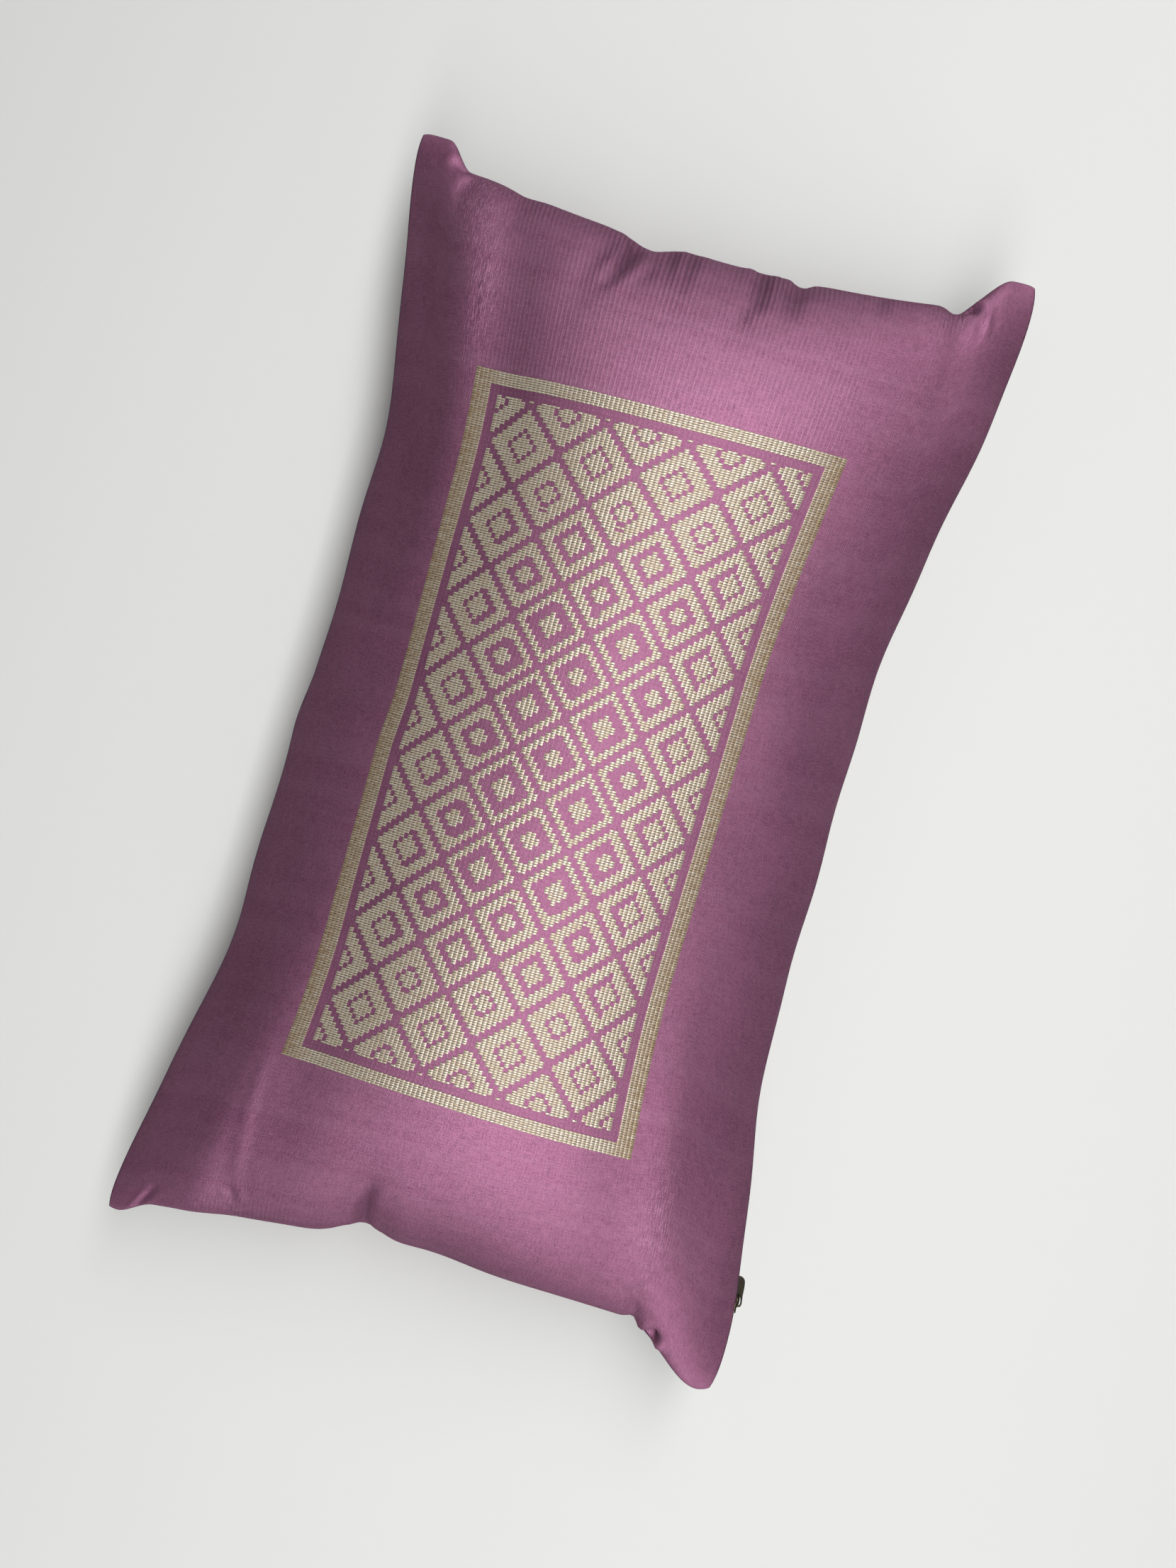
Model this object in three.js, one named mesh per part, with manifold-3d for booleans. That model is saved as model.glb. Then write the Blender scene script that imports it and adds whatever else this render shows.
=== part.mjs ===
// A filled lumbar cushion in plain-weave silk, lying on its back.
// Two rectangles of cloth are sewn together round all four sides and filled, so the sides draw in
// between the corners, the corners stay as flat ears, and the end seams gather into puckers.
// A concealed zip closes one long seam: its slider and drop-shaped pull show near a corner.
//
// Millimetres, +Z up. X runs across the cushion and Y along it. The origin is under the middle,
// on the surface that the cushion lies on.
import * as THREE from 'three';
import { mergeVertices } from 'three/addons/utils/BufferGeometryUtils.js';
import Module from 'manifold-3d';

const wasm = await Module();
wasm.setup();

// Body of the cushion
const SEAM_HEIGHT = 52; // height of the seam at the middle of a side
const CROWN_RISE = 66; // from the seam up to the crown
const REST_ACROSS = 0.4; // shares of the half width and half length where the belly lies flat
const REST_ALONG = 0.66;
const REST_BEND = 1.5; // power of the belly's bend where it leaves the surface
const RIGHT_WAIST = 128; // half widths, where the long sides are drawn in most
const LEFT_WAIST_ABOVE = 125.2;
const LEFT_WAIST_BELOW = 128;
const LEFT_STEP = [-0.09, 0.02]; // shares of the half length between which the left seam steps out
const UPPER_MIDDLE = 239.7; // half lengths, at the middle of the end seams
const LOWER_MIDDLE = 245.4;
const TIP_ROUNDING = 3; // how far the sewn corner is rounded off
const TIP_SHARPNESS = 26; // power that keeps the rounding close to the corner
const DROOP_ACROSS = [0.55, 1]; // shares of the half width and half length over which an ear hangs
const DROOP_ALONG = [0.7, 1];

// How the filling falls off towards the seam: powers of the share of the half width and half length, and
// the powers that round the result.
const FILL_ACROSS = 2;
const FILL_ALONG = 4;
const ROUND_ACROSS = 0.8;
const ROUND_ALONG = 0.62;

// The four ears: where the tip lies, the shares of the half length between which the long side flares out
// to it, how far the end seam rises towards it, the shares of the half width between which the ear steps
// out of the end seam, and how far the ear hangs below the seam.
const EARS = [
  { side: -1, end: 1, tip: [149, 263], flare: [0.4, 1.12], rise: 15, step: [0.79, 0.89], droop: 2 },
  { side: 1, end: 1, tip: [151.8, 271], flare: [0.17, 1], rise: 18.5, step: [0.76, 0.9], droop: -2 },
  { side: 1, end: -1, tip: [149.5, 270], flare: [0.33, 0.97], rise: 3, step: [0.64, 0.92], droop: 4 },
  { side: -1, end: -1, tip: [153.2, 268.5], flare: [0.39, 1.1], rise: 20, step: [0.84, 0.96], droop: 5 },
];

// Puckers in the two end seams, from left to right: where each lies, how far it draws the seam in, its
// half width, how far its valley runs up the crown, how deep that is, and how far it leans sideways.
const PUCKERS = [
  { end: 1, at: -118, notch: 0.3, width: 8, run: 34, sink: 5, lean: 6 },
  { end: 1, at: -91, notch: 1.2, width: 7, run: 18, sink: 2, lean: 0 },
  { end: 1, at: -42, notch: 0.5, width: 7, run: 34, sink: 4, lean: -6 },
  { end: 1, at: -28, notch: 4.6, width: 10, run: 24, sink: 4, lean: -2 },
  { end: 1, at: 27, notch: 0, width: 6, run: 30, sink: 3, lean: -5 },
  { end: 1, at: 45, notch: 2.5, width: 6, run: 22, sink: 3, lean: -3 },
  { end: 1, at: 70, notch: 0, width: 6, run: 22, sink: 2, lean: -3 },
  { end: 1, at: 117, notch: 3, width: 6, run: 38, sink: 7, lean: 2 },
  { end: -1, at: -120, notch: 0.3, width: 8, run: 26, sink: 4, lean: 6 },
  { end: -1, at: -93, notch: 0.4, width: 9, run: 24, sink: 3, lean: -2 },
  { end: -1, at: -32, notch: 7.6, width: 13, run: 30, sink: 5, lean: -2 },
  { end: -1, at: 0, notch: 3.2, width: 25, run: 30, sink: 1, lean: 0 },
  { end: -1, at: 101, notch: 1.5, width: 11, run: 40, sink: 9, lean: -4 },
];

const PUCKER_FADE = [0.03, 0.4]; // shares of the full height between which a valley reaches its depth

// Slow waves in the two long seams: size, length of one wave, and where it starts.
const SIDE_WAVES = [
  { side: -1, size: 0.6, length: 84, start: 18 },
  { side: 1, size: 0.5, length: 71, start: -9 },
];

const WAVE_REACH = { across: 6, along: 4 }; // powers that keep the waves by the seam and off the ears

// Rows and columns of the surface. Both crowd towards the seam, where the puckers are.
const COLUMNS = 46;
const ROWS = 56;
const CROWDING = 0.88;
const SMALL_STEP = 0.004; // share of a half side over which a slope is measured

// Concealed zip
const ZIP_ALONG = -0.847; // where the slider stops, as a share of the half length
const ZIP_ACROSS = 0.984; // just under the seam, as a share of the half width
const SEAT_GAP = 0.4; // between the slider and the cloth that it lies against
const SLIDER_LENGTH = 9;
const SLIDER_WIDTH = 5.4;
const SLIDER_WAIST = 3.6; // width at the end where the two halves of the zip have joined
const SLIDER_SHOULDER = 0.4; // share of the half length where the slider is widest
const SLIDER_THICKNESS = 1.6;
const BRIDGE_RADIUS = 0.5;
const BRIDGE_SPAN = 6.2;
const BRIDGE_FLAT = 0.55; // share of the bridge that runs level
const BRIDGE_RISE = 3.1; // from the slider's face to the middle of the bridge
const PULL_LENGTH = 14;
const PULL_WIDTH = 5.2;
const PULL_NECK = 3.7; // width of the eye's end
const PULL_SWELL = [0.4, 0.55]; // shares of the length between which it swells from neck to full width
const PULL_THICKNESS = 0.9;
const EYE_LENGTH = 4.8;
const EYE_WIDTH = 2.3;
const PULL_HANG = 40; // degrees that the pull hangs down from the seam's line
const PULL_LEAN = 3; // degrees that it leans away from the cushion
const CURVE_STEPS = 10;
const BEVEL = 0.2;

const SILK_COLOUR = '#97597f';
const ZIP_COLOUR = '#35342d';

const { lerp, smoothstep } = THREE.MathUtils;

// The cushion's outline and height, all by across and along: -1 at the left and lower seams, 1 at the
// right and upper seams.

function earAt(across, along) {
  const side = across < 0 ? -1 : 1;
  const end = along < 0 ? -1 : 1;
  return EARS.find((ear) => ear.side === side && ear.end === end);
}

// Half width of the cushion: drawn in at the waist and flared out towards the ear.
function halfWidth(across, along) {
  const leftWaist = lerp(LEFT_WAIST_BELOW, LEFT_WAIST_ABOVE, smoothstep(along, ...LEFT_STEP));
  const waist = across < 0 ? leftWaist : RIGHT_WAIST;
  const ear = earAt(across, along);
  const flare = smoothstep(Math.abs(along), ...ear.flare) / smoothstep(1, ...ear.flare);
  return waist + (ear.tip[0] - waist) * flare;
}

// Half length of the cushion: a shallow hollow curve, with the ear stepping out of it.
function halfLength(across, along) {
  const ear = earAt(across, along);
  const middle = along < 0 ? LOWER_MIDDLE : UPPER_MIDDLE;
  const step = smoothstep(Math.abs(across), ...ear.step);
  return middle + ear.rise * across ** 2 + (ear.tip[1] - middle - ear.rise) * step;
}

// How strongly a pucker is felt at a place: 1 on its valley line at the seam, fading sideways and inwards.
function puckerAt(pucker, x, inward) {
  const valley = pucker.at + (pucker.lean * inward) / pucker.run;
  const sideways = (x - valley) / pucker.width;
  return Math.exp(-(sideways ** 2) - (inward / pucker.run) ** 2);
}

// Place in plan, before the corner tips are rounded and the seams pucker.
function smoothPlan(across, along) {
  return { x: across * halfWidth(across, along), y: along * halfLength(across, along) };
}

function puckersNear(across, along) {
  const { x, y } = smoothPlan(across, along);
  const inward = halfLength(across, along) - Math.abs(y);
  const end = along < 0 ? -1 : 1;
  return PUCKERS.filter((pucker) => pucker.end === end)
    .map((pucker) => ({ pucker, strength: puckerAt(pucker, x, inward) }));
}

function plan(across, along) {
  let { x, y } = smoothPlan(across, along);
  for (const { pucker, strength } of puckersNear(across, along)) {
    y -= pucker.end * pucker.notch * strength;
  }
  for (const wave of SIDE_WAVES) {
    const nearSide = Math.max(0, across * wave.side) ** WAVE_REACH.across * (1 - along ** WAVE_REACH.along);
    x -= wave.side * wave.size * nearSide * (1 + Math.sin((2 * Math.PI * (y - wave.start)) / wave.length));
  }
  const tip = TIP_ROUNDING * Math.abs(across * along) ** TIP_SHARPNESS;
  return { x: x - Math.sign(across) * tip, y: y - Math.sign(along) * tip };
}

function seamHeight(across, along) {
  const ear = earAt(across, along);
  const corner = smoothstep(Math.abs(across), ...DROOP_ACROSS) * smoothstep(Math.abs(along), ...DROOP_ALONG);
  return SEAM_HEIGHT - ear.droop * corner;
}

// How full the cushion is, from 0 at the seam to 1 at the middle.
function fullness(acrossFall, alongFall) {
  return (1 - acrossFall) ** ROUND_ACROSS * (1 - alongFall) ** ROUND_ALONG;
}

function crownHeight(across, along) {
  const full = fullness(Math.abs(across) ** FILL_ACROSS, Math.abs(along) ** FILL_ALONG);
  let height = seamHeight(across, along) + CROWN_RISE * full;
  for (const { pucker, strength } of puckersNear(across, along)) {
    height -= pucker.sink * strength * smoothstep(full, ...PUCKER_FADE);
  }
  return height;
}

// The belly is flat where it lies on the surface, and bends up from there to the seam.
function bellyHeight(across, along) {
  const lift = (share, rest) => Math.max(0, (Math.abs(share) - rest) / (1 - rest)) ** REST_BEND;
  const full = fullness(lift(across, REST_ACROSS), lift(along, REST_ALONG));
  return seamHeight(across, along) * (1 - full);
}

// Even steps from -1 to 1, crowded towards both ends.
function crowdedStep(step, steps) {
  const even = (2 * step) / steps - 1;
  return Math.sin((even * Math.PI * CROWDING) / 2) / Math.sin((Math.PI * CROWDING) / 2);
}

// One closed surface: the crown's grid, then the belly's, which shares the seam's points.
function cushionGeometry() {
  const points = [];
  const crown = [];
  const belly = [];
  for (let row = 0; row <= ROWS; row += 1) {
    crown.push([]);
    belly.push([]);
    const along = crowdedStep(row, ROWS);
    for (let column = 0; column <= COLUMNS; column += 1) {
      const across = crowdedStep(column, COLUMNS);
      const { x, y } = plan(across, along);
      const onSeam = row === 0 || row === ROWS || column === 0 || column === COLUMNS;
      crown[row].push(points.length / 3);
      points.push(x, y, onSeam ? seamHeight(across, along) : crownHeight(across, along));
      belly[row].push(onSeam ? crown[row][column] : points.length / 3);
      if (!onSeam) points.push(x, y, bellyHeight(across, along));
    }
  }
  const triangles = [];
  for (let row = 0; row < ROWS; row += 1) {
    for (let column = 0; column < COLUMNS; column += 1) {
      addSquare(triangles, crown, row, column, false);
      addSquare(triangles, belly, row, column, true);
    }
  }
  const geometry = new THREE.BufferGeometry();
  geometry.setAttribute('position', new THREE.Float32BufferAttribute(points, 3));
  geometry.setIndex(triangles);
  geometry.computeVertexNormals();
  return geometry;
}

// Two triangles of a grid, cut along the diagonal that runs towards the nearest corner of the cushion,
// so that no triangle has all its points on the seam.
function addSquare(triangles, grid, row, column, facesDown) {
  const [a, b] = [grid[row][column], grid[row][column + 1]];
  const [d, c] = [grid[row + 1][column], grid[row + 1][column + 1]];
  const risingDiagonal = (row < ROWS / 2) === (column < COLUMNS / 2);
  const pair = risingDiagonal ? [[a, b, c], [a, c, d]] : [[a, b, d], [b, c, d]];
  for (const [i, j, k] of pair) {
    if (facesDown) triangles.push(i, k, j);
    else triangles.push(i, j, k);
  }
}

// Zip

function solidOf(geometry) {
  const bare = geometry.clone();
  bare.deleteAttribute('normal');
  bare.deleteAttribute('uv');
  const merged = mergeVertices(bare, 1e-4);
  return new wasm.Manifold(new wasm.Mesh({
    numProp: 3,
    vertProperties: merged.attributes.position.array,
    triVerts: new Uint32Array(merged.index.array),
  }));
}

function geometryOf(solid) {
  const { vertProperties, triVerts } = solid.getMesh();
  const geometry = new THREE.BufferGeometry();
  geometry.setAttribute('position', new THREE.Float32BufferAttribute(vertProperties, 3));
  geometry.setIndex(Array.from(triVerts));
  geometry.computeVertexNormals();
  return geometry;
}

// The slider's plate, a rounded shield: wide at its mouth and narrow at its tail. Its face is +Z and the
// seam runs along Y.
function sliderPlate() {
  const mouth = SLIDER_WIDTH / 2;
  const tail = SLIDER_WAIST / 2;
  const end = SLIDER_LENGTH / 2;
  const shoulder = end * SLIDER_SHOULDER;
  const shield = new THREE.Shape();
  shield.moveTo(-tail, -end);
  shield.lineTo(tail, -end);
  shield.quadraticCurveTo(tail, 0, mouth, shoulder);
  shield.quadraticCurveTo(mouth, end, 0, end);
  shield.quadraticCurveTo(-mouth, end, -mouth, shoulder);
  shield.quadraticCurveTo(-tail, 0, -tail, -end);
  return new THREE.ExtrudeGeometry(shield, {
    depth: SLIDER_THICKNESS - 2 * BEVEL,
    bevelThickness: BEVEL,
    bevelSize: BEVEL,
    bevelOffset: -BEVEL,
    bevelSegments: 1,
    curveSegments: CURVE_STEPS,
  }).translate(0, 0, BEVEL - SLIDER_THICKNESS);
}

function roundSection(radius) {
  return new THREE.Shape(new THREE.EllipseCurve(0, 0, radius, radius).getPoints(CURVE_STEPS).slice(0, -1));
}

// The arch over the slider's face that holds the pull. Its feet are sunk into the plate.
function sliderBridge() {
  const foot = BRIDGE_SPAN / 2;
  const arch = new THREE.CatmullRomCurve3([
    new THREE.Vector3(0, -foot, -SLIDER_THICKNESS / 2),
    new THREE.Vector3(0, -foot, BRIDGE_RISE / 2),
    new THREE.Vector3(0, -foot * BRIDGE_FLAT, BRIDGE_RISE),
    new THREE.Vector3(0, foot * BRIDGE_FLAT, BRIDGE_RISE),
    new THREE.Vector3(0, foot, BRIDGE_RISE / 2),
    new THREE.Vector3(0, foot, -SLIDER_THICKNESS / 2),
  ]);
  const section = roundSection(BRIDGE_RADIUS);
  return new THREE.ExtrudeGeometry(section, { extrudePath: arch, steps: 2 * CURVE_STEPS });
}

function sliderGeometry() {
  return geometryOf(solidOf(sliderPlate()).add(solidOf(sliderBridge())));
}

// The drop-shaped pull, lying in the XY plane. Its eye is at the origin and its round end towards +Y.
function pullGeometry() {
  const neck = PULL_NECK / 2;
  const belly = PULL_WIDTH / 2;
  const roundEnd = PULL_LENGTH - EYE_LENGTH / 2 - belly;
  const eyeEnd = -EYE_LENGTH / 2 - (PULL_NECK - EYE_WIDTH) / 2;
  const [swellStart, swellEnd] = PULL_SWELL.map((share) => share * roundEnd);
  const drop = new THREE.Shape();
  drop.moveTo(neck, 0);
  drop.bezierCurveTo(neck, swellStart, belly, swellEnd, belly, roundEnd);
  drop.absarc(0, roundEnd, belly, 0, Math.PI, false);
  drop.bezierCurveTo(-belly, swellEnd, -neck, swellStart, -neck, 0);
  drop.quadraticCurveTo(-neck, eyeEnd, 0, eyeEnd);
  drop.quadraticCurveTo(neck, eyeEnd, neck, 0);
  const eye = new THREE.Path();
  eye.absellipse(0, 0, EYE_WIDTH / 2, EYE_LENGTH / 2, 0, 2 * Math.PI, true);
  drop.holes.push(eye);
  return new THREE.ExtrudeGeometry(drop, {
    depth: PULL_THICKNESS - 2 * BEVEL,
    bevelThickness: BEVEL,
    bevelSize: BEVEL,
    bevelOffset: -BEVEL,
    bevelSegments: 1,
    curveSegments: CURVE_STEPS,
  }).translate(0, 0, BEVEL - PULL_THICKNESS / 2);
}

// A point of the belly and its outward direction there, with the direction that runs along the cushion.
function bellySeat(across, along) {
  const point = (s, t) => new THREE.Vector3(plan(s, t).x, plan(s, t).y, bellyHeight(s, t));
  const place = point(across, along);
  const seamward = point(across + SMALL_STEP, along).sub(place).normalize();
  const lengthwise = point(across, along + SMALL_STEP).sub(place).normalize();
  const outward = new THREE.Vector3().crossVectors(lengthwise, seamward).normalize();
  return { place, lengthwise, outward };
}

// Turns a mesh so that its own Y and Z axes point along two directions at right angles.
function turnTo(mesh, yAxis, zAxis) {
  const xAxis = new THREE.Vector3().crossVectors(yAxis, zAxis);
  mesh.quaternion.setFromRotationMatrix(new THREE.Matrix4().makeBasis(xAxis, yAxis, zAxis));
}

// The slider lies against the belly just under the right-hand seam, and the pull hangs from its bridge.
function zip(material) {
  const { place, lengthwise, outward } = bellySeat(ZIP_ACROSS, ZIP_ALONG);

  const slider = new THREE.Mesh(sliderGeometry(), material);
  slider.name = 'zip_slider';
  slider.position.copy(place).addScaledVector(outward, SEAT_GAP + SLIDER_THICKNESS);
  turnTo(slider, lengthwise, outward);

  const pull = new THREE.Mesh(pullGeometry(), material);
  pull.name = 'zip_pull';
  pull.position.copy(slider.position).addScaledVector(outward, BRIDGE_RISE);
  const heading = Math.atan2(lengthwise.y, lengthwise.x) - THREE.MathUtils.degToRad(PULL_LEAN);
  const hang = THREE.MathUtils.degToRad(PULL_HANG);
  const downward = new THREE.Vector3(
    Math.cos(hang) * Math.cos(heading),
    Math.cos(hang) * Math.sin(heading),
    -Math.sin(hang),
  );
  const wide = new THREE.Vector3(Math.sin(heading), -Math.cos(heading), 0);
  turnTo(pull, downward, new THREE.Vector3().crossVectors(wide, downward));

  const whole = new THREE.Group();
  whole.add(slider, pull);
  return whole;
}

const silk = new THREE.MeshStandardMaterial({ color: SILK_COLOUR, roughness: 0.5, metalness: 0 });
const zipMetal = new THREE.MeshStandardMaterial({ color: ZIP_COLOUR, roughness: 0.35, metalness: 0.8 });

const cushion = new THREE.Mesh(cushionGeometry(), silk);
cushion.name = 'cushion';

const model = new THREE.Group();
model.add(cushion, zip(zipMetal));

export default model;
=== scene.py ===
import math

import bpy
import numpy as np
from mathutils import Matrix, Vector


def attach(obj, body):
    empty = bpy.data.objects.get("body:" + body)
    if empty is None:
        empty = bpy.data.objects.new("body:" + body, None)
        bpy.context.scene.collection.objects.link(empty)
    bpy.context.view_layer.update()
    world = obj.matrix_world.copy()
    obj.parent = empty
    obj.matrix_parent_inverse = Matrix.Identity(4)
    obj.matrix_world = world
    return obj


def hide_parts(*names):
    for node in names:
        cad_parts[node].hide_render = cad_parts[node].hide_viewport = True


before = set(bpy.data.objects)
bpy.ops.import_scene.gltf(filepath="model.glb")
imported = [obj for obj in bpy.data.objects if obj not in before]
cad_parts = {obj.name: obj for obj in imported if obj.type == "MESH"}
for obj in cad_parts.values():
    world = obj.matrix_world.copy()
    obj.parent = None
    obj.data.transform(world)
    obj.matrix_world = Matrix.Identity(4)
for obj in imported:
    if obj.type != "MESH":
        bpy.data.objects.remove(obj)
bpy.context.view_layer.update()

# The silk cover. Two rectangles of plum silk are sewn face to face along all four sides, turned out through
# the zip and filled with loose fibre. The middle crowns, the long sides draw in, the short ends gather into
# puckers, and the corners stay flat as ears. It lies on its back, and the filling flattens it there.
MM = 0.001
SEAM_HEIGHT = 52
CROWN_RISE = 66
REST_ACROSS = 0.4
REST_ALONG = 0.66
REST_BEND = 1.5
RIGHT_WAIST = 128
LEFT_WAIST_ABOVE = 125.2
LEFT_WAIST_BELOW = 128
LEFT_STEP = (-0.09, 0.02)
UPPER_MIDDLE = 239.7
LOWER_MIDDLE = 245.4
TIP_ROUNDING = 3
TIP_SHARPNESS = 26
DROOP_ACROSS = (0.7, 1.02)
DROOP_ALONG = (0.68, 0.94)
ROUND_ACROSS = 0.8
ROUND_ALONG = 0.68
PUCKER_FADE = (0.03, 0.4)
EARS = np.array([  # tip across and along, flare from and to, rise, step from and to, droop
    (155.1, 271.5, 0.39, 1.1, 20, 0.84, 0.96, 12),  # left lower
    (150.9, 266.2, 0.4, 1.12, 15, 0.79, 0.89, 9),  # left upper
    (149.2, 273.5, 0.33, 0.97, 3, 0.65, 0.95, 6),  # right lower
    (154.4, 275.5, 0.17, 1, 18.5, 0.765, 0.91, 8),  # right upper
])
PUCKERS = [  # end, place across, notch, width, run, sink, lean
    (1, -118, 0.3, 8, 30, 2, 6), (1, -91, 1.2, 7, 18, 2, 0), (1, -42, 0.5, 7, 34, 4, -6),
    (1, -28, 4.6, 10, 24, 4, -2), (1, 27, 0, 6, 30, 3, -5), (1, 45, 2.5, 6, 22, 3, -3),
    (1, 70, 0, 6, 22, 2, -3), (1, 117, 3.4, 5, 14, 2, 2),
    (-1, -120, 0.3, 8, 26, 1.5, 6), (-1, -93, 0.4, 9, 24, 3, -2), (-1, -32, 7.6, 13, 30, 3, -2),
    (-1, 0, 3.2, 25, 30, 1, 0), (-1, 101, 2, 3.2, 13, 4, -3),
]
SIDE_WAVES = [(-1, 0.6, 84, 18), (1, 0.5, 71, -9)]  # side, size, length, start


def ease(value, low, high):
    share = np.clip((value - low) / (high - low), 0, 1)
    return share * share * (3 - 2 * share)


def seam_plan(across, along):
    """The cloth's place seen from above, how far the puckers sink it there, and the seam's height."""
    ear = EARS[2 * (across > 0) + (along > 0)]
    tip_x, tip_y, flare_from, flare_to, rise, step_from, step_to, droop = np.moveaxis(ear, -1, 0)
    left = LEFT_WAIST_BELOW + (LEFT_WAIST_ABOVE - LEFT_WAIST_BELOW) * ease(along, *LEFT_STEP)
    waist = np.where(across < 0, left, RIGHT_WAIST)
    flare = ease(np.abs(along), flare_from, flare_to) / ease(1, flare_from, flare_to)
    middle = np.where(along < 0, LOWER_MIDDLE, UPPER_MIDDLE)
    reach = middle + rise * across ** 2 + (tip_y - middle - rise) * ease(np.abs(across), step_from, step_to)
    x0 = across * (waist + (tip_x - waist) * flare)
    y = along * reach
    inward = reach - np.abs(y)
    sink = 0 * x0
    for end, at, notch, width, run, deep, lean in PUCKERS:
        strength = np.exp(-((x0 - at - lean * inward / run) / width) ** 2 - (inward / run) ** 2)
        strength = strength * (along * end > 0)
        y = y - end * notch * strength
        sink = sink + deep * strength
    x = x0
    for side, size, length, start in SIDE_WAVES:
        near = np.maximum(0, across * side) ** 6 * (1 - along ** 4)
        x = x - side * size * near * (1 + np.sin(2 * np.pi * (y - start) / length))
    tip = TIP_ROUNDING * np.abs(across * along) ** TIP_SHARPNESS
    height = SEAM_HEIGHT - droop * ease(np.abs(across), *DROOP_ACROSS) * ease(np.abs(along), *DROOP_ALONG)
    return x - np.sign(across) * tip, y - np.sign(along) * tip, sink, height


def fullness(a, b):
    return np.maximum(0, 1 - a) ** ROUND_ACROSS * np.maximum(0, 1 - b) ** ROUND_ALONG


def crown(across, along):
    x, y, sink, seam = seam_plan(across, along)
    full = fullness(across ** 2, along ** 4)
    return np.stack([x, y, seam + CROWN_RISE * full - sink * ease(full, *PUCKER_FADE)], axis=-1)


def belly(across, along):
    x, y, sink, seam = seam_plan(across, along)
    lift_across = np.maximum(0, (np.abs(across) - REST_ACROSS) / (1 - REST_ACROSS)) ** REST_BEND
    lift_along = np.maximum(0, (np.abs(along) - REST_ALONG) / (1 - REST_ALONG)) ** REST_BEND
    return np.stack([x, y, seam * (1 - fullness(lift_across, lift_along))], axis=-1)


FINE = np.linspace(-1, 1, 4001)


def cloth_run(line):
    """How much cloth lies between one end of a line over the crown and each of its points."""
    return np.append(0, np.cumsum(np.linalg.norm(np.diff(line, axis=0), axis=1)))


RUN_ACROSS = cloth_run(crown(FINE, 0 * FINE))
RUN_ALONG = cloth_run(crown(0 * FINE, FINE))
CLOTH_WIDTH = RUN_ACROSS[-1]
CLOTH_LENGTH = RUN_ALONG[-1]


def cloth_grid(columns, rows):
    """Evenly spaced threads of the cover: shares across and along, and flat places on the cloth in mm."""
    across = np.interp(np.linspace(0, CLOTH_WIDTH, columns + 1), RUN_ACROSS, FINE)
    along = np.interp(np.linspace(0, CLOTH_LENGTH, rows + 1), RUN_ALONG, FINE)
    flat_x = np.linspace(-0.5, 0.5, columns + 1) * CLOTH_WIDTH
    flat_y = np.linspace(-0.5, 0.5, rows + 1) * CLOTH_LENGTH
    return np.meshgrid(across, along), np.stack(np.meshgrid(flat_x, flat_y), axis=-1)


def sewn_faces(rows, columns):
    """The quads of the front, and those of the back, which shares the front's points along the seam."""
    front = np.arange(rows * columns).reshape(rows, columns)
    inner = np.zeros((rows, columns), bool)
    inner[1:-1, 1:-1] = True
    back = front.copy()
    back[inner] = rows * columns + np.arange(inner.sum())
    cells = np.stack([front[:-1, :-1], front[:-1, 1:], front[1:, 1:], front[1:, :-1]], axis=-1)
    cells = cells.reshape(-1, 4)
    return cells, cells[:, ::-1], back.ravel(), inner.ravel()


def mesh_of(name, points, faces):
    mesh = bpy.data.meshes.new(name)
    mesh.from_pydata(np.asarray(points).reshape(-1, 3) * MM, [], faces.tolist())
    mesh.shade_smooth()
    return mesh


def piece(name, mesh, material):
    made = bpy.data.objects.new(name, mesh)
    bpy.context.scene.collection.objects.link(made)
    mesh.materials.append(material)
    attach(made, "root")
    return made


# The filling presses the cloth out between the seams. The panels' cut is a little larger than the
# stretched form, so the cloth buckles into soft folds beside the seams and stays tight over the crown.
SIM_COLUMNS = 80
SIM_ROWS = 146
PRESSURE = 4
SIM_FRAMES = 24
MOST_MOVE = 7
SLACK = 1.012
CLOTH_BEND = 0.05
RESTING_BELOW = 1


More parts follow.
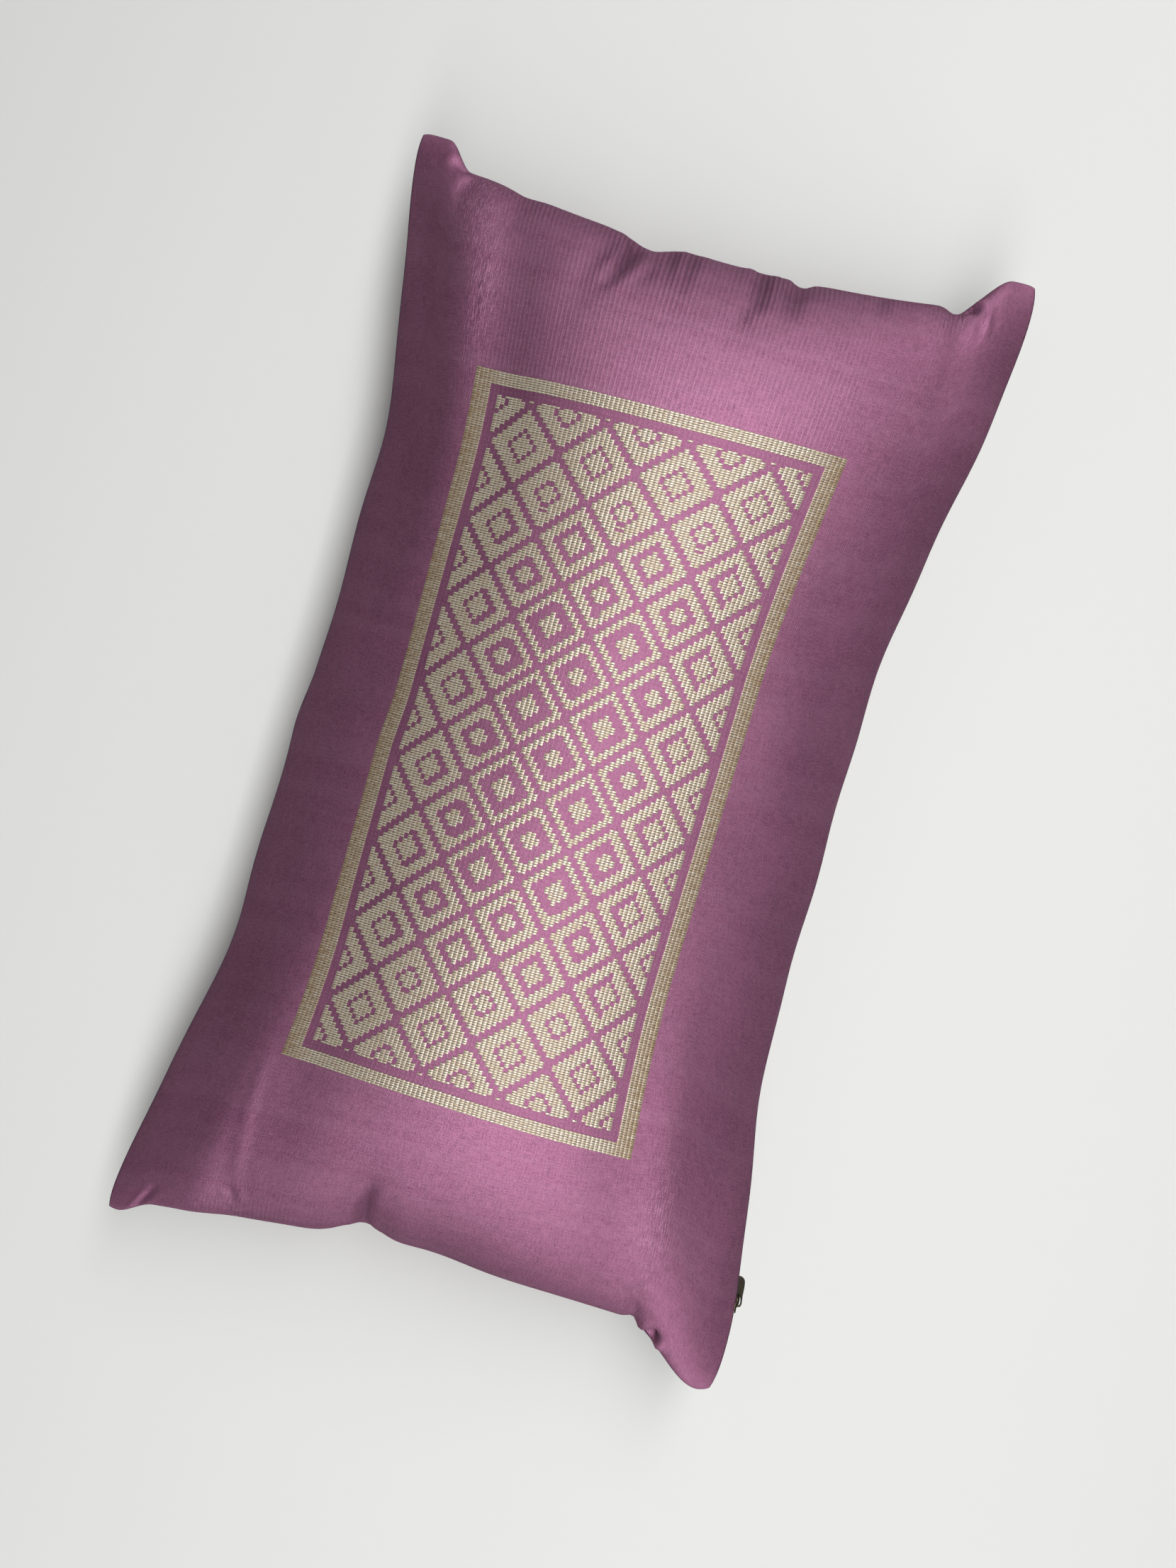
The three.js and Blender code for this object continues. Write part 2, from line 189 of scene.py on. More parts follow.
def filled_move():
    """How far the pressure of the filling moves each thread crossing of the front and the back, in mm."""
    (across, along), flat = cloth_grid(SIM_COLUMNS, SIM_ROWS)
    rows, columns = across.shape
    cells, turned, back, inner = sewn_faces(rows, columns)
    front_points = crown(across, along).reshape(-1, 3)
    back_points = belly(across, along).reshape(-1, 3)
    points = np.concatenate([front_points, back_points[inner]])
    mesh = mesh_of("filling", points, np.concatenate([cells, back[turned]]))
    pad = bpy.data.objects.new("filling", mesh)
    bpy.context.scene.collection.objects.link(pad)
    held = pad.vertex_groups.new(name="held")
    resting = np.concatenate([~inner, back_points[inner][:, 2] < RESTING_BELOW])
    held.add(np.flatnonzero(resting).tolist(), 1, "REPLACE")
    pad.shape_key_add(name="filled")
    cut = pad.shape_key_add(name="cut")
    cut.data.foreach_set("co", (points * SLACK * MM).ravel())
    cloth = pad.modifiers.new("filling", "CLOTH")
    cloth.settings.rest_shape_key = cut
    cloth.settings.vertex_group_mass = "held"
    cloth.settings.use_pressure = True
    cloth.settings.uniform_pressure_force = PRESSURE
    cloth.settings.effector_weights.gravity = 0
    cloth.settings.bending_stiffness = CLOTH_BEND
    cloth.collision_settings.use_collision = False
    cloth.point_cache.frame_end = SIM_FRAMES
    for step in range(1, SIM_FRAMES + 1):
        bpy.context.scene.frame_set(step)
    settled = pad.evaluated_get(bpy.context.evaluated_depsgraph_get()).data
    after = np.empty(3 * len(points))
    settled.vertices.foreach_get("co", after)
    bpy.context.scene.frame_set(1)
    bpy.data.objects.remove(pad)
    move = after.reshape(-1, 3) / MM - points
    size = np.linalg.norm(move, axis=1, keepdims=True)
    move = move * np.minimum(1, MOST_MOVE / np.maximum(size, 1e-6))
    return move[:rows * columns].reshape(rows, columns, 3), move[back].reshape(rows, columns, 3)


def halved(grid, axis):
    """The grid with a point added between each pair along one axis, on a curve through its neighbours."""
    grid = np.moveaxis(grid, axis, 0)
    before = np.concatenate([2 * grid[:1] - grid[1:2], grid, 2 * grid[-1:] - grid[-2:-1]])
    between = (9 * (before[1:-2] + before[2:-1]) - before[:-3] - before[3:]) / 16
    fine = np.empty((2 * len(grid) - 1,) + grid.shape[1:])
    fine[::2] = grid
    fine[1::2] = between
    return np.moveaxis(fine, 0, axis)


(across, along), cloth_at = cloth_grid(2 * SIM_COLUMNS, 2 * SIM_ROWS)
front_points = crown(across, along)
back_points = belly(across, along)
front_move, back_move = filled_move()
front_points = front_points + halved(halved(front_move, 0), 1)
back_points = back_points + halved(halved(back_move, 0), 1)
back_points[..., 2] = np.maximum(0, back_points[..., 2])


def grid_normals(points):
    across_step = np.gradient(points, axis=1)
    along_step = np.gradient(points, axis=0)
    normal = np.cross(across_step, along_step)
    return normal / np.maximum(np.linalg.norm(normal, axis=-1, keepdims=True), 1e-9)


# Creases that the sewing and the hand left in the cloth, each along a line on the flat cloth: a valley with
# a low lip on both sides, or where the depth is negative a ridge. A deep valley gets painted shade in the
# colour.
CREASES = [  # from, to, bow sideways, depth, width
    ((-31, 258), (-39, 200), 4, 3, 2.6),
    ((-24, 250), (-31, 212), 3, -0.9, 3),
    ((-15, 256), (-13, 212), 0, 1.6, 2.2),
    ((-7, 256), (-8.5, 208), 0, 1.4, 2.2),
    ((16.5, 216), (18, 202), 0, 0.8, 1.8),
    ((21, 264), (20, 208), 1, 2.2, 2.8),
    ((28, 262), (26, 216), 1, 1.5, 2.2),
    ((36, 264), (33, 216), -1, 1.9, 2.6),
    ((70, 260), (68, 230), 0, 0.7, 2.6),
    ((106, 264), (114, 242), 1, 2.6, 1.7),
    ((118, 240), (121, 218), 0, -0.6, 1.8),
    ((115, 244), (117, 222), 0, 0.6, 1.6),
    ((-110, 262), (-123, 238), 1, 1.8, 1.9),
    ((-108, 254), (-118, 228), 0, -0.8, 2.2),
    ((-106, 240), (-90, 40), 2, -2.6, 13),
    ((-97, -236), (-89, -30), -2, -1.4, 13),
    ((94, -240), (86, -60), 2, -0.9, 12),
    ((-88, -156), (-74, -256), -2, -0.35, 2.6),
    ((-82, -230), (-77.5, -244), 0, 0.9, 1.6),
    ((-26, -262), (-26.5, -206), 1, 2.4, 2.2),
    ((-34, -258), (-34, -212), 0, -0.9, 5),
    ((-127, -264), (-117, -240), 0, 1.4, 2.2),
    ((96, -270), (103.5, -247), -1, 5.4, 2.3),
]
CREASE_LIP = 0.35
LIP_PLACE = 2.1  # widths from the valley's line
FADE_IN = (-0.12, 0.2)  # shares of the line's length
FADE_OUT = (0.5, 1.1)
FLAT_AT_SEAM = 6
SHADED_DEPTH = 5


def crease_depth(flat):
    depth = np.zeros(flat.shape[:2])
    for start, end, bow, deep, width in CREASES:
        start, end = np.array(start), np.array(end)
        length = np.linalg.norm(end - start)
        way = (end - start) / length
        run = (flat - start) @ way / length
        side = (flat - start) @ (-way[1], way[0]) - bow * 4 * run * (1 - run)
        fade = ease(run, *FADE_IN) * (1 - ease(run, *FADE_OUT))
        lip = CREASE_LIP * np.exp(-((np.abs(side) - LIP_PLACE * width) / width) ** 2)
        depth += deep * fade * (np.exp(-(side / width) ** 2) - lip)
    inset = np.minimum(CLOTH_WIDTH / 2 - np.abs(flat[..., 0]), CLOTH_LENGTH / 2 - np.abs(flat[..., 1]))
    return depth * ease(inset, 0, FLAT_AT_SEAM)


pressed = crease_depth(cloth_at)
front_points = front_points - grid_normals(front_points) * pressed[..., None]
front_normals = grid_normals(front_points)

# Where the gathered end seams pleat the cloth along its binding threads, and where it is crinkled.
PLEATS = [  # place on the flat cloth, reach across and along, strength
    (-36, 246, 13, 34, 0.8), (-11, 246, 10, 34, 1), (25, 250, 12, 38, 1), (46, 256, 10, 24, 0.6),
    (72, 256, 14, 24, 0.5), (-72, 258, 20, 24, 0.5), (98, 256, 10, 20, 0.7), (-72, -258, 26, 20, 0.3),
]
CRINKLES = [  # place on the flat cloth, reach across and along, strength
    (-98, 236, 13, 34, 1), (-89, 190, 7, 34, 0.9), (100, 246, 14, 12, 0.8), (-82, -244, 14, 18, 0.6),
    (88, -205, 8, 38, 0.8),
]


def patches(rows):
    found = np.zeros(cloth_at.shape[:2])
    for x, y, reach_x, reach_y, strength in rows:
        off = ((cloth_at[..., 0] - x) / reach_x) ** 2 + ((cloth_at[..., 1] - y) / reach_y) ** 2
        found = np.maximum(found, strength * np.exp(-off))
    return found


# The brocade's place on the flat cloth: columns of binding thread across, weft rows along.
PANEL = np.array([[(-81.6, -156.3), (70.6, -162.5)], [(-85.7, 148.4), (75.1, 152.8)]])
COLUMNS = 80
ROWS = 297
COUNT_STEPS = 12


def panel_place(column, row):
    p = np.asarray(column)[..., None] / COLUMNS
    q = np.asarray(row)[..., None] / ROWS
    lower = PANEL[0, 0] * (1 - p) + PANEL[0, 1] * p
    upper = PANEL[1, 0] * (1 - p) + PANEL[1, 1] * p
    return lower * (1 - q) + upper * q


def panel_count(flat):
    """The column and row of the brocade, carried on outside it, at places on the flat cloth."""
    span = PANEL[1, 1] - PANEL[0, 0]
    count = (flat - PANEL[0, 0]) / span * (COLUMNS, ROWS)
    for _ in range(COUNT_STEPS):
        miss = flat - panel_place(count[..., 0], count[..., 1])
        count = count + miss / span * (COLUMNS, ROWS)
    return count


cells, turned, back, inner = sewn_faces(*across.shape)
cover_points = np.concatenate([front_points.reshape(-1, 3), back_points.reshape(-1, 3)[inner]])
cover_mesh = mesh_of("silk_cover", cover_points, np.concatenate([cells, back[turned]]))
FAR_OFF = -4000
flat_cloth = cloth_at.reshape(-1, 2)
counted = panel_count(cloth_at).reshape(-1, 2)
SHEET_SPAN = 2.06  # cloth lengths across the bake sheet, where the front and the back lie side by side
half_sheet = flat_cloth / (SHEET_SPAN * CLOTH_LENGTH) + (0.25, 0.5)
for name, front_map, back_map in (
    ("cloth", flat_cloth, flat_cloth),
    ("panel", counted, counted + FAR_OFF),
    ("OFBake", half_sheet, half_sheet + (0.5, 0)),
):
    corners = np.concatenate([front_map[cells], back_map[turned]])
    cover_mesh.uv_layers.new(name=name).data.foreach_set("uv", corners.ravel())

# The first attribute holds the painted shade of deep creases; the others mark where pleats and crinkles
# lie.
for name, values in (
    ("hollow_shade", np.clip(pressed / SHADED_DEPTH, 0, 1)),
    ("pleat", patches(PLEATS)),
    ("crinkle", patches(CRINKLES)),
):
    all_points = np.append(values, np.zeros(inner.sum()))
    cover_mesh.attributes.new(name, "FLOAT", "POINT").data.foreach_set("value", all_points)


class Tone:
    """A socket of a material. Sums on it add Math nodes, and node() adds any other node."""

    def __init__(self, tree, socket=None):
        self.tree = tree
        self.socket = socket

    def node(self, kind, settings, sockets, output=0):
        made = self.tree.nodes.new("ShaderNode" + kind)
        for name, value in settings.items():
            setattr(made, name, value)
        for name, value in sockets.items():
            if isinstance(value, Tone):
                self.tree.links.new(value.socket, made.inputs[name])
            else:
                made.inputs[name].default_value = value
        return Tone(self.tree, made.outputs[output])

    def maths(self, operation, *values):
        return self.node("Math", {"operation": operation}, dict(enumerate(values)))

    def __add__(self, other):
        return self.maths("ADD", self, other)

    def __sub__(self, other):
        return self.maths("SUBTRACT", self, other)

    def __rsub__(self, other):
        return self.maths("SUBTRACT", other, self)

    def __mul__(self, other):
        return self.maths("MULTIPLY", self, other)

    def __truediv__(self, other):
        return self.maths("DIVIDE", self, other)

    def __pow__(self, other):
        return self.maths("POWER", self, other)

    def __gt__(self, other):
        return self.maths("GREATER_THAN", self, other)

    def __lt__(self, other):
        return self.maths("LESS_THAN", self, other)

    __radd__ = __add__
    __rmul__ = __mul__

    def between(self, low, high, to_low=0.0, to_high=1.0):
        """0 to 1 as the value goes from low to high, eased."""
        sockets = {0: self, 1: low, 2: high, 3: to_low, 4: to_high}
        return self.node("MapRange", {"interpolation_type": "SMOOTHSTEP"}, sockets)

    def wave(self):
        """From 0 to 1 and back, once for each whole number."""
        return self.maths("COSINE", self * (2 * math.pi)) * -0.5 + 0.5

    def mixed(self, first, second):
        return self.node("Mix", {"data_type": "RGBA"}, {0: self, 6: first, 7: second}, 2)


def material_named(name):
    made = bpy.data.materials.new(name)
    made.use_nodes = True
    return made, Tone(made.node_tree)


def finished(material, sockets):
    shader = material.node_tree.nodes["Principled BSDF"]
    for name, value in sockets.items():
        if isinstance(value, Tone):
            material.node_tree.links.new(value.socket, shader.inputs[name])
        else:
            shader.inputs[name].default_value = value
    return material


# The silk is shot: a plum warp crossed by a pinker weft, fine enough that it shows as a soft twill grain.
# Slubs run both ways, and the binding threads of the brocade go on as ribs up to the upper seam.
PLUM = (0.500, 0.190, 0.340, 1)
PLUM_DEEP = (0.330, 0.112, 0.220, 1)
PINK_WEFT = (0.720, 0.400, 0.580, 1)
# A deep plum: the colour of dark slubs, and of painted shade in deep creases, pleat valleys and along the
# seams.
SHADE_AND_DARK_SLUB = (0.090, 0.028, 0.070, 1)
GRAIN = 1.05
silk, tone = material_named("plum_silk")
cloth_uv = tone.node("UVMap", {"uv_map": "cloth"}, {})
panel_uv = tone.node("UVMap", {"uv_map": "panel"}, {})
cloth_x = tone.node("SeparateXYZ", {}, {0: cloth_uv}, 0)
cloth_y = tone.node("SeparateXYZ", {}, {0: cloth_uv}, 1)
column = tone.node("SeparateXYZ", {}, {0: panel_uv}, 0)
row = tone.node("SeparateXYZ", {}, {0: panel_uv}, 1)


def speckle(x, y, detail=2.0, roughness=0.5):
    """Noise from 0 to 1 over two counts."""
    place = tone.node("CombineXYZ", {}, {0: x, 1: y})
    sockets = {"Vector": place, "Scale": 1.0, "Detail": detail, "Roughness": roughness}
    return tone.node("TexNoise", {"noise_dimensions": "2D"}, sockets)


hollow_shade = tone.node("Attribute", {"attribute_name": "hollow_shade"}, {}, 2)
pleat = tone.node("Attribute", {"attribute_name": "pleat"}, {}, 2)
crinkle = tone.node("Attribute", {"attribute_name": "crinkle"}, {}, 2)
weft_slub = speckle(cloth_x / 22, cloth_y / 0.5).between(0.64, 0.8)
warp_slub = speckle(cloth_x / 0.5 + 31, cloth_y / 16).between(0.67, 0.82)
dark_slub = speckle(cloth_x / 0.5 + 90, cloth_y / 13).between(0.69, 0.82)
weft_thread = speckle(cloth_x / 5, cloth_y / 0.6 + 50)
warp_thread = speckle(cloth_x / 0.6 + 70, cloth_y / 6)
twill = ((cloth_x * 0.8 + cloth_y) / GRAIN).wave()
grain = twill * speckle(cloth_x / 0.7, cloth_y / 0.7 + 9).between(0.3, 0.7)
bars = speckle(cloth_x / 240 + 7, cloth_y / 9, 3.0).between(0.35, 0.68)
clouds = speckle(cloth_x / 38 + 3, cloth_y / 55, 3.0)
on_columns = (column > 0) * (column < COLUMNS)
in_panel = on_columns * (row > 0) * (row < ROWS)
above = (column.between(-1, 6) * (1 - column.between(COLUMNS - 6, COLUMNS + 1))
         * row.between(ROWS, ROWS + 2) * (1 - row.between(ROWS + 25, ROWS + 130, 0, 0.75)))
rib = (column + 0.5).wave() ** 3
binder = rib * (row / 2).wave().between(0.2, 0.8) * in_panel
ribs = rib * above
folds = (column + 0.5).wave() * pleat
dimples = speckle(cloth_x / 4.5, cloth_y / 6, 3.0) * crinkle
# How near the seams: a thin line of painted shade runs along them.
edge_x = CLOTH_WIDTH / 2 - cloth_x.maths("ABSOLUTE", cloth_x)
edge_y = CLOTH_LENGTH / 2 - cloth_y.maths("ABSOLUTE", cloth_y)
seam_line_shade = 1 - edge_x.maths("MINIMUM", edge_x, edge_y).between(0.2, 1.6)

colour = (clouds * 0.4 + weft_thread * 0.9 + warp_thread * 0.8).between(0.7, 1.4).mixed(PLUM_DEEP, PLUM)
colour = (bars * 0.1).mixed(colour, PINK_WEFT)
streaks = warp_thread.between(0.5, 0.7) * crinkle
colour = (grain * 0.5 + weft_slub * 0.2 + warp_slub * 0.25 + streaks * 0.4).mixed(colour, PINK_WEFT)
colour = (ribs * 0.22 + binder * 0.35).mixed(colour, PINK_WEFT)
colour = (in_panel * 0.45).mixed(colour, PLUM_DEEP)
# Dark slubs are the silk's own colour; the pleats' valleys get painted shade.
colour = (dark_slub * 0.5 + (pleat - folds) * 0.4).mixed(colour, SHADE_AND_DARK_SLUB)
# Painted shade in deep creases and in a thin line along the seams.
colour = hollow_shade.maths("MINIMUM", hollow_shade * 0.85 + seam_line_shade * 0.75, 1.0).mixed(colour, SHADE_AND_DARK_SLUB)
height = (grain * 0.5 + weft_slub * 0.4 + warp_slub * 0.3 + ribs * 0.5 + binder * 0.4 + folds * 4.0
          + dimples * 8.0 + weft_thread * 0.5 + warp_thread * 0.4 + streaks * 1.2)
bumped = tone.node("Bump", {}, {"Strength": 0.4, "Distance": 0.00022, "Height": height})
finished(silk, {
    "Base Color": colour,
    "Roughness": 0.6 - grain * 0.05 + clouds * 0.06,
    "Metallic": 0.92,
    "Specular IOR Level": 0.3,
    "Coat Weight": 0.3,
    "Coat Roughness": 0.55,
    "Sheen Weight": 0.03,
    "Sheen Roughness": 0.5,
    "Sheen Tint": (0.85, 0.55, 0.75, 1),
    "Normal": bumped,
})
cover = piece("silk_cover", cover_mesh, silk)
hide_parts("cushion")

# The brocade. Flat gilt thread is woven in as an extra weft and floats over the silk between binding
# threads, one short plump dash for each column and row. A band, a plain line and a field of stepped
# lozenges make up the panel.
BAND = (4, 6)  # columns and rows
LINE = (2, 4)
REPEAT = (17, 34)
DASH_LENGTH = 0.97
DASH_WIDTH = 0.98
DASH_HEIGHT = 0.30
DASH_FOOT = 0.06
DASH_SHIFT = (0.02, 0.05)
DASH_UNEVEN = 0.12
column_at, row_at = np.meshgrid(np.arange(COLUMNS), np.arange(ROWS), indexing="ij")
inset = np.minimum(column_at, COLUMNS - 1 - column_at), np.minimum(row_at, ROWS - 1 - row_at)
in_band = (inset[0] < BAND[0]) | (inset[1] < BAND[1])
in_line = ~in_band & ((inset[0] < BAND[0] + LINE[0]) | (inset[1] < BAND[1] + LINE[1]))
across_lozenge = np.abs((column_at + 0.5 - COLUMNS / 2 + REPEAT[0] / 2) % REPEAT[0] - REPEAT[0] / 2)
along_lozenge = np.abs((row_at + 0.5 - ROWS / 2 + REPEAT[1] / 2) % REPEAT[1] - REPEAT[1] / 2)
STEP_ROWS = 2
along_lozenge = np.floor(along_lozenge / STEP_ROWS) * STEP_ROWS + STEP_ROWS / 2
spread = across_lozenge / (REPEAT[0] / 2) + along_lozenge / (REPEAT[1] / 2)
spread = np.where(spread <= 1, spread, 2 - spread)
off_middle = np.maximum(np.abs(column_at / COLUMNS - 0.5), np.abs(row_at / ROWS - 0.5)) * 2
RING = (0.24, 0.68, 0.40)  # inner edge, and outer edge at the panel's middle and at its border
LOZENGE_EDGE = 0.88
ring_edge = RING[1] + (RING[2] - RING[1]) * ease(off_middle, 0.1, 0.9)
gilt_field = (spread < RING[0]) | ((spread > ring_edge) & (spread < LOZENGE_EDGE))
gilt = in_band | (~in_line & gilt_field)
dash_column, dash_row = column_at[gilt] + 0.5, row_at[gilt] + 0.5
ALONG_DASH = np.array([-0.5, -0.27, 0.27, 0.5]) * DASH_LENGTH
ACROSS_DASH = np.array([-0.5, 0, 0.5]) * DASH_WIDTH
arch = np.outer([0, 1, 1, 0], [0.12, 1, 0.12]) + np.outer([1, 0, 0, 1], [0, 0.25, 0])
chance = np.random.default_rng(7)
jitter = chance.uniform(-1, 1, (3, len(dash_column), 1, 1))
at_column = dash_column[:, None, None] + ALONG_DASH[:, None] + 0 * ACROSS_DASH + DASH_SHIFT[0] * jitter[0]
at_row = dash_row[:, None, None] + ACROSS_DASH + 0 * ALONG_DASH[:, None] + DASH_SHIFT[1] * jitter[1]


def on_cover(grid, flat):
    """A grid of the front, read between its points at places on the flat cloth."""
    share = (flat / (CLOTH_WIDTH, CLOTH_LENGTH) + 0.5) * (grid.shape[1] - 1, grid.shape[0] - 1)
    whole = np.floor(share).astype(int)
    part = (share - whole)[..., None, :]
    i, j = whole[..., 0], whole[..., 1]
    low = grid[j, i] * (1 - part[..., 0]) + grid[j, i + 1] * part[..., 0]
    high = grid[j + 1, i] * (1 - part[..., 0]) + grid[j + 1, i + 1] * part[..., 0]
    return low * (1 - part[..., 1]) + high * part[..., 1]


dash_flat = panel_place(at_column, at_row)
dash_height = DASH_FOOT + DASH_HEIGHT * arch * (1 + DASH_UNEVEN * jitter[2])
dash_raise = on_cover(front_normals, dash_flat) * dash_height[..., None]
dash_points = on_cover(front_points, dash_flat) + dash_raise
stations, sides = len(ALONG_DASH), len(ACROSS_DASH)
corner = np.arange(stations * sides).reshape(stations, sides)
dash_face = np.stack([corner[:-1, :-1], corner[1:, :-1], corner[1:, 1:], corner[:-1, 1:]], axis=-1)
dash_face = dash_face.reshape(-1, 4)
first = np.arange(len(dash_column))[:, None, None] * corner.size
dash_faces = (first + dash_face).reshape(-1, 4)
brocade_mesh = mesh_of("brocade", dash_points, dash_faces)
panel_share = np.stack([at_column / COLUMNS * 0.52, at_row / ROWS], axis=-1).reshape(-1, 2) * 0.96 + 0.02
brocade_mesh.uv_layers.new(name="OFBake").data.foreach_set("uv", panel_share[dash_faces].ravel())
# Painted shade over each dash: light on its ridge, dark at its sides where the rows meet, and a mid tone at
# its ends for the binding thread.
shade = np.broadcast_to([[0.40, 0.55, 0.40], [0, 1, 0], [0, 1, 0], [0.40, 0.55, 0.40]], at_column.shape)
brocade_mesh.attributes.new("ridge", "FLOAT", "POINT").data.foreach_set("value", shade.ravel())
fleck = np.broadcast_to(0.5 + 0.5 * jitter[2], at_column.shape)
brocade_mesh.attributes.new("fleck", "FLOAT", "POINT").data.foreach_set("value", fleck.ravel())
# Dashes on the panel's left and right sides, where the cushion slopes away, get painted shade toward brown,
# by a random amount each.
side_share = np.abs(dash_column / COLUMNS - 0.5) * 2
SHADED_SIDES = (0.82, 1.0)
SIDE_SHADE_LEAST = 0.3
browned = ease(side_share, *SHADED_SIDES) * chance.uniform(SIDE_SHADE_LEAST, 1, len(side_share))
browned = np.broadcast_to(browned[:, None, None], at_column.shape)
brocade_mesh.attributes.new("browned", "FLOAT", "POINT").data.foreach_set("value", browned.ravel())

GILT = (0.62, 0.525, 0.40, 1)
GILT_PALE = (0.75, 0.69, 0.575, 1)
# A brown for painted shade and for the binding thread, a dark painted shadow for the row gaps, and a brown
# for painted shade on the sloping sides.
GILT_SHADE_AND_BINDER = (0.41, 0.31, 0.21, 1)
GILT_GAP_SHADOW = (0.055, 0.038, 0.030, 1)
GILT_SIDE_SHADE = (0.40, 0.27, 0.15, 1)
gilt_thread, tone = material_named("gilt_thread")
ridge = tone.node("Attribute", {"attribute_name": "ridge"}, {}, 2)
fleck = tone.node("Attribute", {"attribute_name": "fleck"}, {}, 2)
browned = tone.node("Attribute", {"attribute_name": "browned"}, {}, 2)
colour = fleck.mixed(GILT, GILT_PALE)
# Painted shade toward brown on the sloping sides.
colour = browned.mixed(colour, GILT_SIDE_SHADE)
# Across each dash: painted shade toward its sides and a dark painted shadow in the gaps between rows. At
# the dash ends the mid brown is the binding thread.
colour = ridge.between(0.25, 0.55).mixed(GILT_SHADE_AND_BINDER, colour)
colour = ridge.between(0.1, 0.26).mixed(GILT_GAP_SHADOW, colour)
finished(gilt_thread, {
    "Base Color": colour,
    "Roughness": 0.46 - fleck * 0.1,
    "Metallic": 0.45,
})
piece("brocade", brocade_mesh, gilt_thread)

# The zip. A cast slider with its drop-shaped pull, plated in dark bronze, sits at the lower end of the
# right-hand seam; the teeth and tape are hidden in the seam.
BRONZE = (0.030, 0.027, 0.022, 1)
BRONZE_EDGE = (0.240, 0.190, 0.110, 1)
bronze, tone = material_named("dark_bronze")
place = tone.node("TexCoord", {}, {}, 3)
mottle = tone.node("TexNoise", {}, {"Vector": place, "Scale": 900.0, "Detail": 4.0})
# Sharp convex edges, picked by pointiness and a mottle, turn a lighter olive brown.
browned = tone.node("NewGeometry", {}, {}, 7).between(0.52, 0.6) * mottle.between(0.35, 0.6)
finished(bronze, {
    "Base Color": browned.mixed(BRONZE, BRONZE_EDGE),
    "Roughness": 0.34 + mottle * 0.2,
    "Metallic": 1.0,
    "Normal": tone.node("Bump", {}, {"Strength": 0.2, "Distance": 0.0001, "Height": mottle}),
})
for name in ("zip_slider", "zip_pull"):
    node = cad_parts[name]
    node.data.materials.clear()
    node.data.materials.append(bronze)

# The floor, light and camera. The cushion lies on white paper under one long soft lamp, a little to its
# right, and the camera looks straight down on it.
FLOOR_HALF = 3
PAPER_WHITE = (0.84, 0.845, 0.825, 1)
floor_mesh = bpy.data.meshes.new("floor")
floor_corners = [(-FLOOR_HALF, -FLOOR_HALF, 0), (FLOOR_HALF, -FLOOR_HALF, 0),
                 (FLOOR_HALF, FLOOR_HALF, 0), (-FLOOR_HALF, FLOOR_HALF, 0)]
floor_mesh.from_pydata(floor_corners, [], [(0, 1, 2, 3)])
paper, tone = material_named("white_paper")
finished(paper, {"Base Color": PAPER_WHITE, "Roughness": 0.9, "Specular IOR Level": 0.1})
floor_mesh.materials.append(paper)
floor = bpy.data.objects.new("floor", floor_mesh)
bpy.context.scene.collection.objects.link(floor)
floor.visible_glossy = False

# A pale backdrop rings the floor for low views. Only the camera sees it, so it lends the silk no light.
BACKDROP_REACH = 2.6
BACKDROP_HEIGHT = 2.5
BACKDROP_SIDES = 48
BACKDROP_PALE = (0.50, 0.505, 0.495, 1)
turns = np.linspace(0, 2 * np.pi, BACKDROP_SIDES, endpoint=False)
ring = np.stack([np.cos(turns), np.sin(turns), 0 * turns], axis=-1) * BACKDROP_REACH
around = np.arange(BACKDROP_SIDES)
after = (around + 1) % BACKDROP_SIDES
walls = np.stack([around, after, after + BACKDROP_SIDES, around + BACKDROP_SIDES], axis=-1)
backdrop_mesh = mesh_of("backdrop", np.concatenate([ring, ring + (0, 0, BACKDROP_HEIGHT)]) / MM, walls)
backdrop_paper, tone = material_named("backdrop_paper")
finished(backdrop_paper, {
    "Base Color": (0, 0, 0, 1),
    "Specular IOR Level": 0.0,
    "Emission Color": BACKDROP_PALE,
    "Emission Strength": 1.0,
})
backdrop_mesh.materials.append(backdrop_paper)
backdrop = bpy.data.objects.new("backdrop", backdrop_mesh)
bpy.context.scene.collection.objects.link(backdrop)
backdrop.visible_diffuse = False
backdrop.visible_glossy = False
backdrop.visible_transmission = False
backdrop.visible_shadow = False

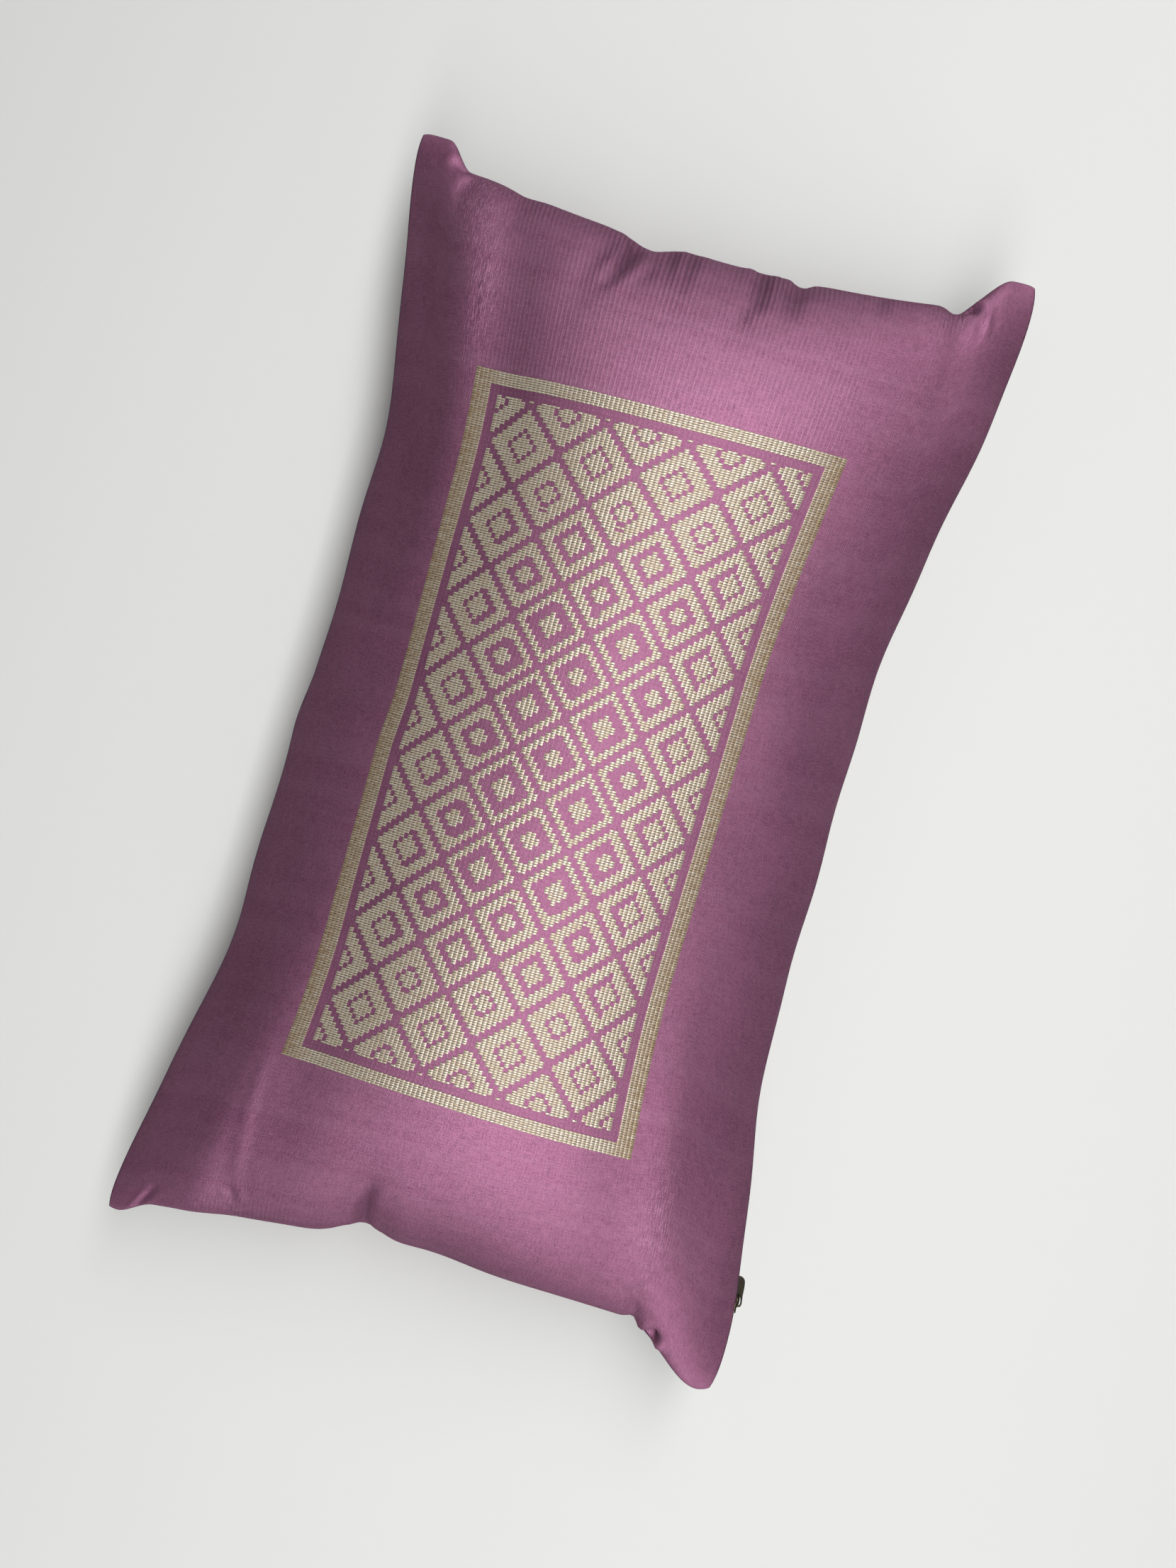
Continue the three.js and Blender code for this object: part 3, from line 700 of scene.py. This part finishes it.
LAMP_PLACE = (0.32, -0.3, 1.4)
LAMP_SIZE = (0.55, 5)
LAMP_POWER = 42
lamp_data = bpy.data.lights.new("soft_lamp", "AREA")
lamp_data.shape = "RECTANGLE"
lamp_data.size, lamp_data.size_y = LAMP_SIZE
lamp_data.energy = LAMP_POWER
lamp = bpy.data.objects.new("soft_lamp", lamp_data)
lamp.location = LAMP_PLACE
lamp.rotation_euler = (0, math.atan2(LAMP_PLACE[0], LAMP_PLACE[2]), 0)
bpy.context.scene.collection.objects.link(lamp)

# Two weaker lamps stand low beyond the ends, so that the end slopes stay as light as the crown.
END_LAMPS = [  # name, place, power
    ("lower_lamp", (0.6, -1.9, 0.42), 0.3),
    ("upper_lamp", (0.4, 1.9, 0.42), 0.22),
]
END_LAMP_SIZE = (1.2, 0.6)
END_LAMP_SPREAD = math.radians(50)
for name, place, power in END_LAMPS:
    end_data = bpy.data.lights.new(name, "AREA")
    end_data.shape = "RECTANGLE"
    end_data.size, end_data.size_y = END_LAMP_SIZE
    end_data.spread = END_LAMP_SPREAD
    end_data.energy = power
    end_lamp = bpy.data.objects.new(name, end_data)
    end_lamp.location = place
    end_lamp.rotation_euler = Vector(place).to_track_quat("Z", "Y").to_euler()
    bpy.context.scene.collection.objects.link(end_lamp)

ROOM_LIGHT = 0.09
ROOM_TINT = (0.97, 1, 0.98, 1)
room = bpy.data.worlds.new("room")
room.use_nodes = True
room.node_tree.nodes["Background"].inputs["Color"].default_value = ROOM_TINT
room.node_tree.nodes["Background"].inputs["Strength"].default_value = ROOM_LIGHT
bpy.context.scene.world = room
bpy.context.scene.view_settings.view_transform = "Standard"

CAMERA_OVER = (12.3, -11.9)
CAMERA_ABOVE_SEAM = 596
CAMERA_TURN = math.radians(16)
PHOTO_ROWS = 2212
ROW_HEIGHT = 0.332
VIEW_HEIGHT = PHOTO_ROWS * ROW_HEIGHT  # mm of the seam's plane that the picture's height takes in
SENSOR = 36
camera_data = bpy.data.cameras.new("camera")
camera_data.sensor_fit = "VERTICAL"
camera_data.sensor_height = SENSOR
camera_data.lens = SENSOR * CAMERA_ABOVE_SEAM / VIEW_HEIGHT
camera_data.clip_start = 0.01
camera = bpy.data.objects.new("camera", camera_data)
camera.location = (CAMERA_OVER[0] * MM, CAMERA_OVER[1] * MM, (SEAM_HEIGHT + CAMERA_ABOVE_SEAM) * MM)
camera.rotation_euler = (0, 0, CAMERA_TURN)
bpy.context.scene.collection.objects.link(camera)
bpy.context.scene.camera = camera
